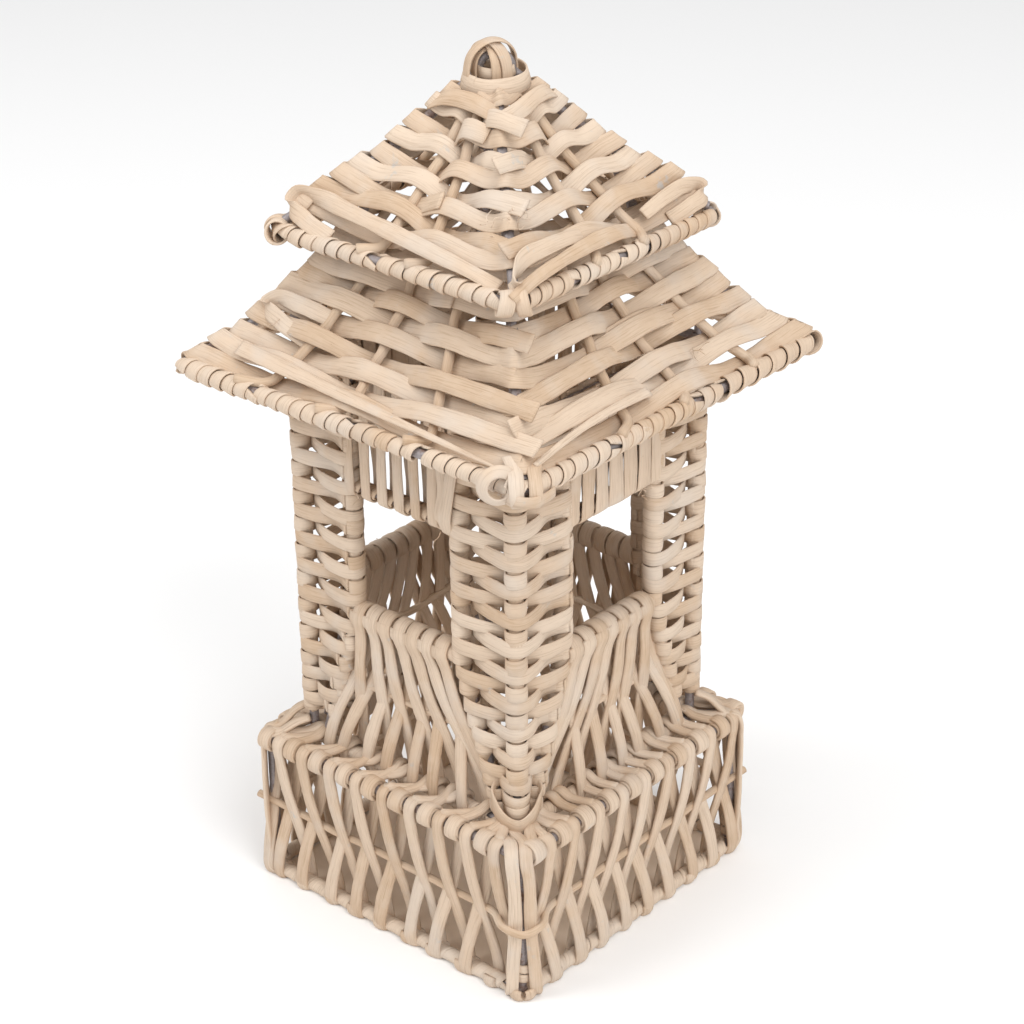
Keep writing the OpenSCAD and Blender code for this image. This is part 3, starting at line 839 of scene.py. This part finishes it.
def lap(reach, shares, parity, slack, arch):
    """Marks of one lap of a row, (side, share, lift, rise): it runs over and under the stakes.

    A strip rises a little where it passes over a stake or cuts across a hip."""
    marks = []
    near = min(0.3, 7.5 * MM / reach)
    for side in range(4):
        for i, share in enumerate([-1.0, *shares[side]]):
            sign = 1 if (parity + side * (len(shares[side]) + 1) + i) % 2 == 0 else -1
            if i == 0:
                out = ROOF_LIFT * 1.05 + rng.uniform(0, slack) * min(1, reach / (50 * MM))
                marks.append((side - 1, 1 - near, ROOF_LIFT * 0.7, 0.4 * arch))
                marks.append((side, -1.0, out, 1.3 * arch))
                marks.append((side, near - 1, ROOF_LIFT * 0.7, 0.4 * arch))
            else:
                lift = sign * ROOF_LIFT * 1.12 + max(0, sign) * rng.uniform(0, 0.35) * slack
                marks.append((side, share, lift, sign * arch))
    return marks


def splice(marks, reach, kind):
    """Starts a lap at the front hip: one end lies square over the hip, the other under it.

    kind names the face from which the upper end runs on past the hip."""
    hip = [mark[:2] for mark in marks].index((1, -1.0))
    if kind == "left":
        turned = marks[hip:] + marks[:hip]
        share, rise = turned[-1][1], turned[-1][3]
        turned[0] = (1, -1.0, 0.75 * ROOF_LIFT, turned[0][3])
        turned[-1] = (0, share, 1.5 * ROOF_LIFT, rise)
        under, over = (0, 0.8, -0.3 * ROOF_LIFT, 0), (0, 1 + 8 * MM / reach, 1.75 * ROOF_LIFT, rise)
        return [under] + turned + [over]
    turned = marks[hip + 1:] + marks[:hip]
    share, rise = turned[0][1], turned[0][3]
    turned[0] = (1, share, 1.35 * ROOF_LIFT, rise)
    over = (1, -1 - 4 * MM / reach, 1.6 * ROOF_LIFT, rise)
    return [over] + turned + [(1, -1.0, 0.7 * ROOF_LIFT, 0), (1, -0.75, -0.3 * ROOF_LIFT, 0)]


def roof_row(weave, profile, distance, shares, parity, width, kind, slack, arch):
    """A strip woven once round the roof."""
    reach = along(profile, distance)[0][0]
    marks = lap(reach, shares, parity, slack, arch)
    overlap = 0 if kind else ROW_OVERLAP
    if kind:
        marks = splice(marks, reach, kind)
    else:
        start = int(rng.integers(len(marks)))
        if start + overlap > len(marks):
            start = 0
        marks = marks[start:] + marks[:start + overlap]
    phase = rng.uniform(0, 2 * math.pi, 2)
    tilt = rng.uniform(0.6, 1.4) * MM
    points, across = [], []
    for i, (side, share, lift, rise) in enumerate(marks):
        angle = 2 * math.pi * i / len(marks)
        climb = rise + tilt * (math.sin(phase[0] + 2 * angle) + 0.5 * math.sin(phase[1] + 5 * angle))
        extra = STRIP_T * 1.2 if i >= len(marks) - overlap else 0
        point, hint = roof_point(profile, distance + climb, share, lift + extra)
        points.append(place(side, point))
        across.append(place(side, hint))
    weave.strip(points, across, width, step=1.8 * MM)


def roof(profile, shares, rows, first, pitch, width, splices, slack, arch):
    """Rows up a roof; splices says which of them start at the front hip, and how."""
    weave = Weave()
    for j in range(rows):
        distance = first + j * pitch + drift(0.5)
        roof_row(weave, profile, distance, shares, j, width, splices.get(j), slack if j else 0, arch)
    return weave


def stakes(name, profile, shares, stop, *replaced):
    """Round stakes up the faces, each bent down over the eave at its foot."""
    weave = Weave()
    for side in range(4):
        for share in shares[side]:
            points = [roof_point(profile, 1 * MM, share - 0.1, 4.6 * MM)[0]]
            for distance in np.linspace(7 * MM, stop, 9):
                sway = share + rng.uniform(-0.012, 0.012)
                points.append(roof_point(profile, distance, sway, 0)[0])
            weave.reed(place(side, points), STAKE_R)
    weave.build(name, *replaced, slot="round_reed")


def loose_strip(weave, side, profile, marks, width, taper):
    """A short strip laid on a roof face through marks of distance, share and lift, in millimetres.

    A fourth value is how far it stands on its edge there, up to 1, as it does where it turns back."""
    points, across = [], []
    for distance, share, lift, *turned in marks:
        edge = turned[0] if turned else 0
        point, hint = roof_point(profile, distance * MM, share, lift * MM)
        above = roof_point(profile, distance * MM, share, (lift + 1) * MM)[0]
        off = unit(np.array(above) - np.array(point))
        points.append(place(side, point))
        across.append(place(side, unit(np.array(hint)) * (1 - edge) + off * edge))
    weave.strip(points, across, width, taper=taper, step=1.4 * MM)


def lay_loose(weave, profile, strips):
    for side, width, taper, marks in strips:
        loose_strip(weave, side, profile, marks, width * MM, taper)


# ---------- wrapped eaves ----------


def square_path(half, corner, step=1 * MM):
    """Points round a square with round corners, with outward directions, from mid front."""
    points, outs = [], []
    for side in range(4):
        straight = half - corner
        us = np.arange(-straight, straight, step)
        points.append(place(side, [(u, half, 0) for u in us]))
        outs.append(np.repeat([place(side, (0, 1, 0))], len(us), axis=0))
        bend = [(math.sin(a), math.cos(a), 0) for a in np.linspace(0, math.pi / 2, 9)[:-1]]
        points.append(place(side, [(straight + corner * u, straight + corner * n, 0) for u, n, _ in bend]))
        outs.append(place(side, bend))
    return np.vstack(points), np.vstack(outs)


def eave_wrap(name, ring, corner, radius, pitch, *replaced):
    """Strips wound closely round the eave wire, a new one every dozen turns or so."""
    weave = Weave()
    centre, out = square_path(ring[0], corner)
    centre[:, 2] += ring[1]
    centre = np.vstack([centre, centre[:1]])
    out = np.vstack([out, out[:1]])
    length = np.concatenate([[0], np.cumsum(np.linalg.norm(np.diff(centre, axis=0), axis=1))])
    at, total = 0.0, length[-1]
    while at < total - 2 * pitch:
        own = pitch * rng.choice([0.94, 1.0, 1.06, 1.5], p=[0.3, 0.35, 0.25, 0.1])
        end = min(at + rng.integers(2, 9) * own, total)
        points, across = wind(length, centre, out, at, end, radius * rng.uniform(0.96, 1.1), own)
        weave.strip(points, across, own * 1.03, step=1.2 * MM)
        at = end + rng.choice([-0.1, 0.12, 0.3]) * pitch
    weave.build(name, *replaced)


def wind(length, centre, out, start, end, radius, pitch):
    """Points of a helix about a stretch of the eave, and the way its width lies at each."""
    count = max(8, int((end - start) / pitch * 10))
    s = np.linspace(start, end, count)
    angle = 2 * math.pi * (s / pitch + 0.06 * np.sin(s / (3.3 * pitch)))
    middle, side = sample(s, length, centre), unit(sample(s, length, out))
    r = radius * (1 + 0.05 * np.sin(s / (1.7 * pitch) + 1.0))[:, None]
    radial = np.cos(angle)[:, None] * side + np.sin(angle)[:, None] * np.array([0, 0, 1.0])
    shingle = 0.14 * np.clip(3 * side @ np.array([-1.0, -1.0, 0]), -1, 1)[:, None]
    return middle + r * radial, unit(np.cross(side, (0, 0, -1.0)) + shingle * radial)


KNOT_T = 1.3 * MM


def eave_curl(weave, corner, z):
    """The free end of the wrapping, curled up beside the front corner."""
    curl, across = [], []
    for q in np.radians(np.arange(-80, 430, 26)):
        r = (6.6 - 2.4 * max(0, q - math.pi) / (1.4 * math.pi)) * MM
        out = corner - 3.5 * MM + 0.5 * MM * q
        curl.append((-9.5 * MM + r * math.cos(q), out, z + 0.5 * MM + r * math.sin(q)))
        across.append((0.75 * math.cos(q), -0.65, 0.75 * math.sin(q)))
    weave.strip(corner_plane(0, curl), corner_plane(0, across), 5 * MM, KNOT_T, step=1 * MM)


def eave_turn(weave, corner, z, across, lean, reach):
    """An upright strip over the eave at the front corner, from the roof down under the wire."""
    head, foot = across * MM, (across + lean) * MM
    points = [
        (head - 2 * lean * MM, corner - 13 * MM, z + reach * MM),
        (head, corner - 4 * MM, z + 6.4 * MM),
        (head, corner + 2.6 * MM, z + 3.8 * MM),
        (head, corner + 5 * MM, z - 1 * MM),
        (foot, corner + 2.4 * MM, z - 6 * MM),
        (foot, corner - 4 * MM, z - 5.5 * MM),
    ]
    weave.strip(corner_plane(0, points), corner_plane(0, ALONG), 6 * MM, KNOT_T, step=1 * MM)


def eave_knot():
    """The curl, the upright turns and the band that finish the wrapping at the front corner."""
    weave = Weave()
    z = LOWER_EAVE[1]
    corner = (LOWER_EAVE[0] - 1.2 * MM) * math.sqrt(2)
    eave_curl(weave, corner, z)
    eave_turn(weave, corner, z, -3.2, 0.8, 8.5)
    eave_turn(weave, corner, z, 4.2, -0.6, 7.0)
    band = [(-8, -3.5, -3.5), (-3, 5.4, -2.4), (3, 6.6, -2.2), (8.5, 1.5, -2.6), (12, -4, -3)]
    points = [(a * MM, corner + b * MM, z + c * MM) for a, b, c in band]
    weave.strip(corner_plane(0, points), UP, 5 * MM, KNOT_T, step=1 * MM)
    weave.build("Eave_corner_knot")


def loose_turn(middle, z, across, lean):
    """Points of an upright turn that stands out from the eave at a corner."""
    points = []
    for q in np.radians(np.arange(-70, 330, 28)):
        out = middle + (1.2 + 4.6 * math.cos(q)) * MM
        points.append(((across + lean * math.sin(q)) * MM, out, z + 4.7 * MM * math.sin(q)))
    return points


def corner_turns(ring, bend, corners):
    """Two loose upright turns of strip on the eave at each of the given corners."""
    weave = Weave()
    middle = (ring[0] - bend) * math.sqrt(2) + bend
    for corner in corners:
        across = corner_plane(corner, (1, 0.2, 0.1))
        for offset, lean in ((-3.3, 1.0), (3.1, -1.2)):
            turn = loose_turn(middle, ring[1], offset, lean)
            weave.strip(corner_plane(corner, turn), across, 6.2 * MM, KNOT_T, step=1 * MM)
    weave.build("Upper_eave_corner_turns")


# ---------- finial ----------


def finial_arch(weave, radius, angle, drop, width, lean):
    """A strip that arches over the knob in the upright plane at an angle about the axis."""
    a = math.radians(angle)
    way, across = np.array([math.cos(a), math.sin(a), 0]), np.array([-math.sin(a), math.cos(a), 0])
    centre = np.array([-1.5 * MM, -1.3 * MM, FINIAL_Z + 1.4 * MM])
    down = np.array([0, 0, drop])
    points = [centre + way * radius * 1.02 - down]
    for q in np.radians(np.arange(0, 181, 22.5)):
        lift = np.array([0, 0, radius * math.sin(q)])
        points.append(centre + way * radius * math.cos(q) + lift + across * lean * math.sin(q))
    points.append(centre - way * radius * 1.02 - down)
    weave.strip(points, across, width, step=1 * MM)


# Arches over the finial: radius, angle in degrees, drop of the feet, width, lean.
FINIAL_ARCHES = (
    (7.2, 62, 5, 4.6, 0), (8.4, -33, 7, 4.4, -0.8), (9.6, -5, 8, 5.8, -0.6), (10.6, 66, 8, 5.8, -1.8),
)
# Bands round the finial: height from its middle, radius, width, tilt, start in degrees, slope.
FINIAL_BANDS = (
    (-0.6, 7.6, 4.6, 0, 200, 0.2), (-3.4, 13.4, 7.2, 1.5, -130, 0.34),
)


def finial():
    """Arches that cross over a hole towards the front corner, above a wide band."""
    weave = Weave()
    for radius, angle, drop, width, lean in FINIAL_ARCHES:
        finial_arch(weave, radius * MM, angle, drop * MM, width * MM, lean * MM)
    for z, r, width, tilt, start, slope in FINIAL_BANDS:
        turn = np.radians(np.arange(0, 420, 20) + start)
        points = [
            (r * MM * math.cos(q), r * MM * math.sin(q), FINIAL_Z + (z + tilt * math.sin(q - 0.6)) * MM)
            for q in turn
        ]
        inward = [(-slope * math.cos(q), -slope * math.sin(q), 1) for q in turn]
        weave.strip(points, inward, width * MM, step=1.2 * MM)
    weave.build("Finial_weave", "finial_weave")


# Where loose fibres stand out: side, middle (u, n, z) in millimetres, reach and count.
FRAYS = (
    (0, (-26, 63, 206), 9, 3), (0, (22, 64, 205), 8, 3), (1, (20, 64, 205), 9, 4),
    (2, (-12, 63, 149), 8, 4), (3, (10, 63, 149), 7, 4), (1, (-44, 46, 342), 6, 9),
    (0, (40, 50, 338), 7, 5), (1, (30, 82, 272), 7, 4), (0, (-60, 76, 276), 8, 3),
)


def frays():
    """Fine fibres that stand out where strips are split or cut."""
    weave = Weave()
    for side, middle, reach, count in FRAYS:
        for _ in range(count):
            start = np.array(middle) * MM + rng.normal(0, 1.6, 3) * MM
            way = unit(rng.normal(0, 1, 3) + np.array([0, 0.9, -0.2])) * rng.uniform(0.5, 1) * reach * MM
            bend = rng.normal(0, 1.2, 3) * MM
            points = [start, start + way * 0.5 + bend, start + way]
            weave.lay(side, points, 0.5 * MM, 0.3 * MM, step=1 * MM, taper=(1, 0.3))
    weave.build("Loose_fibres")


# ---------- assembly ----------

# Where the stakes stand across each face, as shares of the way from its middle to the hips.
LOWER_STAKES = ((-0.52, -0.04, 0.46), (-0.3, 0.12, 0.62), (-0.5, 0.0, 0.5), (-0.5, 0.04, 0.52))
UPPER_STAKES = ((-0.14, 0.26), (-0.18, 0.28), (-0.26, 0.24), (-0.24, 0.26))
# Loose strips laid on the roofs: side, width, taper of the ends, and its marks.
LOWER_LOOSE = (
    (0, 7.5, (1, 0.12), (
        (15, -0.8, 4.4), (11.5, -0.3, 5.4), (8, 0.2, 5.8), (5, 0.65, 5.2), (3, 0.9, 5),
    )),
    (1, 7, (0.3, 0.6), ((6, -0.93, 5), (9.5, -0.7, 5.8), (12, -0.4, 5), (12.5, -0.1, 3))),
    (0, 7, (1, 1), (
        (29, -0.55, 0), (33, -0.78, 3.4), (37.5, -0.94, 4, 0.5), (41, -0.92, 4.4, 0.6),
        (42, -0.74, 4.2, 0.1), (41, -0.52, 1.5),
    )),
)
UPPER_LOOSE = (
    (1, 8, (0.6, 1), (
        (1.5, -1.02, 3.5, 0.1), (4.2, -0.86, 5.4), (7.4, -0.5, 6.6), (9, -0.15, 5.4),
        (9, 0.12, 2.6), (8.4, 0.3, -1.5),
    )),
    (1, 7.4, (1, 1), (
        (3.2, -0.93, 1.5, 0.3), (7.6, -1.0, 4.6, 0.75), (12.4, -0.94, 6, 0.3), (14.6, -0.66, 6.4),
        (14.4, -0.36, 4.8), (13, -0.1, 0),
    )),
    (0, 8, (1, 0.8), (
        (2.6, -0.52, 2.2), (6.6, -0.78, 4.4), (11.5, -0.98, 4.6, 0.6), (15.8, -1.0, 5.4, 0.9),
        (17, -0.84, 5.4, 0.4), (15, -0.52, 5.8), (12, -0.1, 6.4), (8.6, 0.36, 5.6),
        (6, 0.72, 3), (5, 0.88, 0),
    )),
    (1, 7, (1, 0.8), (
        (6, 0.6, 0.5), (7, 0.78, 4), (9.4, 0.95, 4.6, 0.3), (12.4, 1.0, 4.8, 0.8),
        (15, 0.93, 5.2, 0.4), (14.6, 0.68, 5), (12, 0.4, 2.4),
    )),
    (0, 7.4, (1, 1), (
        (70.5, -1, 3), (73.6, -0.6, 5.6), (74.4, 0, 6.2), (73.4, 0.6, 4.8), (72.6, 0.84, 2.6),
    )),
    (1, 7.4, (1, 1), (
        (70, -0.95, 4.8), (71.4, -0.5, 6.4), (74, 0.1, 6.8), (75.2, 0.7, 5), (75, 1, 3),
    )),
)

LOWER_BEND = 4 * MM
UPPER_BEND = 8 * MM


def weave_walls():
    for side in range(4):
        base_wall(side)
        parapet(side)
        post(side)
        valance(side)
    base_reed()
    base_corners()
    parapet_reeds()


def weave_roofs():
    lower = roof(
        LOWER_PROFILE, LOWER_STAKES, rows=10, first=7.5 * MM, pitch=8.1 * MM, width=8.8 * MM,
        splices={1: "left", 2: "right", 3: "left", 6: "left"}, slack=1.6 * MM, arch=0.75 * MM,
    )
    lay_loose(lower, LOWER_PROFILE, LOWER_LOOSE)
    lower.build("Lower_roof_weave", *("lower_roof_weave_" + s for s in SIDES))
    upper = roof(
        UPPER_PROFILE, UPPER_STAKES, rows=9, first=13 * MM, pitch=8.0 * MM, width=8.0 * MM,
        splices={1: "right", 3: "left", 5: "right", 7: "left"}, slack=3.6 * MM, arch=1.7 * MM,
    )
    lay_loose(upper, UPPER_PROFILE, UPPER_LOOSE)
    upper.build("Upper_roof_weave", *("upper_roof_weave_" + s for s in SIDES))


weave_walls()
weave_roofs()
stakes("Lower_roof_stakes", LOWER_PROFILE, LOWER_STAKES, 84 * MM, "lower_roof_stakes")
stakes("Upper_roof_stakes", UPPER_PROFILE, UPPER_STAKES, 78 * MM, "upper_roof_stakes")
eave_wrap("Lower_eave_wrap", LOWER_EAVE, LOWER_BEND, 3.3 * MM, 6.8 * MM, "lower_eave_wrap")
eave_wrap("Upper_eave_wrap", UPPER_EAVE, UPPER_BEND, 3.2 * MM, 6.8 * MM, "upper_eave_wrap")
eave_knot()
corner_turns(UPPER_EAVE, UPPER_BEND, (0, 3))
finial()
frays()


# ---------- floor, light and camera ----------


def ground_colour_and_painted_shade(tree):
    """A pale floor with a warm painted shadow within the footprint of the base."""
    where = add_node(tree, "ShaderNodeTexCoord").outputs["Object"]
    size = add_node(tree, "ShaderNodeVectorMath", operation="ABSOLUTE", Vector=where).outputs[0]
    parts = add_node(tree, "ShaderNodeSeparateXYZ", Vector=size).outputs
    shade = add_node(tree, "ShaderNodeMapRange", Value=maths(tree, "MAXIMUM", parts["X"], parts["Y"]))
    shade.inputs["From Min"].default_value = BASE_FOOT[0] - 3 * MM
    shade.inputs["From Max"].default_value = BASE_FOOT[0]
    # Painted shadow: the floor turns warm and darker inside the base's footprint.
    return mix(tree, shade.outputs["Result"], (0.9, 0.74, 0.58), (0.93, 0.93, 0.93))


FLOOR_HALF = 6


def floor():
    mesh = bpy.data.meshes.new("Floor")
    corners = [(x * FLOOR_HALF, y * FLOOR_HALF, 0) for x, y in ((-1, -1), (1, -1), (1, 1), (-1, 1))]
    mesh.from_pydata(corners, [], [(0, 1, 2, 3)])
    material, tree, shader = new_material("floor")
    feed(tree, shader.inputs["Base Color"], ground_colour_and_painted_shade(tree))
    shader.inputs["Roughness"].default_value = 0.9
    mesh.materials.append(material)
    plane = add_object("Floor", mesh)


def area_light(name, where, size, power):
    """A round soft light that faces the middle of the lantern."""
    data = bpy.data.lights.new(name, "AREA")
    data.shape = "DISK"
    data.size = size
    data.energy = power
    lamp = add_object(name, data)
    lamp.location = where
    lamp.rotation_euler = (Vector((0, 0, 0.2)) - Vector(where)).to_track_quat("-Z", "Y").to_euler()


def studio():
    area_light("Key", (-1.1, -1.6, 1.9), 1.6, 24)
    area_light("Fill", (1.8, -0.6, 1.7), 1.6, 29)
    area_light("Top", (0.2, 0.1, 2.4), 1.8, 16)
    world = bpy.data.worlds.new("Studio")
    bpy.context.scene.world = world
    world.use_nodes = True
    background = world.node_tree.nodes["Background"]
    background.inputs["Color"].default_value = (1, 1, 1, 1)
    background.inputs["Strength"].default_value = 0.6
    bpy.context.scene.view_settings.view_transform = "Standard"


def camera():
    """Looks at the front right corner from a little above the roofs."""
    azimuth, elevation, distance = math.radians(40.84), math.radians(26.72), 1.146
    target = Vector((0, 0, 0.1816))
    level = math.cos(elevation)
    back = Vector((math.sin(azimuth) * level, -math.cos(azimuth) * level, math.sin(elevation)))
    sideways = Vector((math.cos(azimuth), math.sin(azimuth), 0))
    data = bpy.data.cameras.new("Camera")
    data.lens = 91.5
    data.sensor_width = 36
    data.clip_start = 0.01
    eye = add_object("Camera", data)
    roll = Matrix.Rotation(math.radians(-0.52), 4, "Z")
    turn = back.to_track_quat("Z", "Y").to_matrix().to_4x4()
    eye.matrix_world = Matrix.Translation(target + back * distance + sideways * 0.005) @ turn @ roll
    bpy.context.scene.camera = eye


floor()
studio()
camera()
